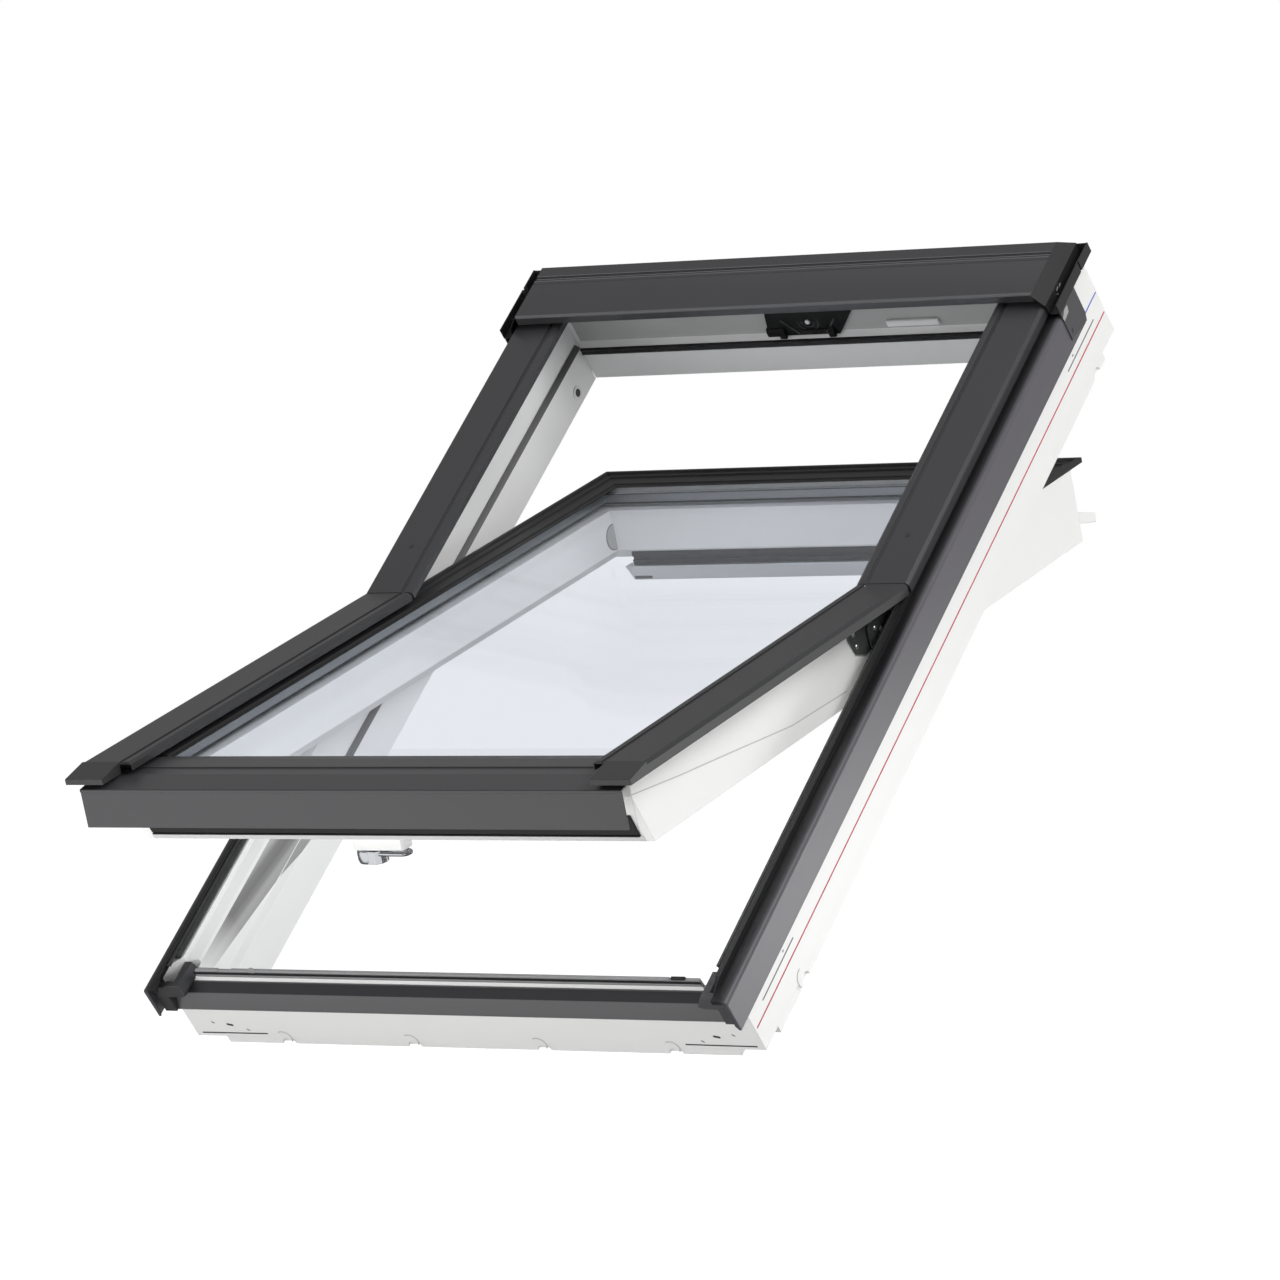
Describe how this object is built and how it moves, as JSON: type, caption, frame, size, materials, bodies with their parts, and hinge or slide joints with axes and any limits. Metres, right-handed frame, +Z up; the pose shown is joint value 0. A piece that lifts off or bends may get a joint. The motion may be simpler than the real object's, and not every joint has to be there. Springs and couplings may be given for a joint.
{
  "type": "centre pivot roof window",
  "caption": "Centre pivot roof window standing open: white mitred frame and sash, dark grey metal cladding and hood, double glazing, vent control bar and lower handle.",
  "frame": {"origin": "middle of the outer face of the bottom frame member, at the height of the roof battens", "axes": "+X across the window to its right as seen from outside, +Y level, up the roof, +Z up; the window lies at a 45 degree roof pitch"},
  "size_m": [0.8002, 1.1297, 0.9423],
  "materials": {
    "white_lacquer": "satin white lacquer over timber and polyurethane",
    "grey_cladding": "matt dark grey coated aluminium",
    "black_rubber": "matt black seal",
    "grey_rubber": "matt grey seal profile",
    "black_plastic": "matt black moulding",
    "clear_glass": "clear, faint blue-grey reflection",
    "spacer_metal": "satin",
    "hinge_metal": "dark zinc coating",
    "satin_metal": "satin",
    "chrome": "polished"
  },
  "bodies": {
    "root": {"bolt_bushings": "satin_metal", "control_bar": "satin_metal", "corner_block_left": "black_plastic", "corner_block_right": "black_plastic", "frame_bottom": "white_lacquer", "frame_cladding_bottom": "grey_cladding", "frame_cladding_left": "grey_cladding", "frame_cladding_right": "grey_cladding", "frame_left_side": "white_lacquer", "frame_right_side": "white_lacquer", "frame_seal_top": "black_rubber", "frame_side_seals": "black_rubber", "frame_top": "white_lacquer", "glazing_rim_left": "black_plastic", "glazing_rim_right": "black_plastic", "glazing_rim_top": "black_plastic", "handle": "chrome", "handle_base": "white_lacquer", "hinge_frame_plate_left": "hinge_metal", "hinge_frame_plate_right": "hinge_metal", "hinge_sash_plate_left": "hinge_metal", "hinge_sash_plate_right": "hinge_metal", "hood_clip_left": "grey_cladding", "hood_clip_right": "grey_cladding", "hood_end_cap_left": "black_plastic", "hood_end_cap_right": "black_plastic", "inner_pane": "clear_glass", "lock_striker": "black_plastic", "outer_pane": "clear_glass", "pane_spacer": "spacer_metal", "restrictor_bar": "satin_metal", "sash_bottom": "white_lacquer", "sash_cover_bottom": "grey_cladding", "sash_cover_left": "grey_cladding", "sash_cover_right": "grey_cladding", "sash_left_side": "white_lacquer", "sash_right_side": "white_lacquer", "sash_seal_bottom": "black_rubber", "sash_top": "white_lacquer", "sill_seal_rail": "grey_rubber", "top_hood": "grey_cladding", "upper_cover_left": "grey_cladding", "upper_cover_right": "grey_cladding", "vent_flap": "white_lacquer", "vent_seal_bar": "black_rubber"}
  },
  "joints": []
}
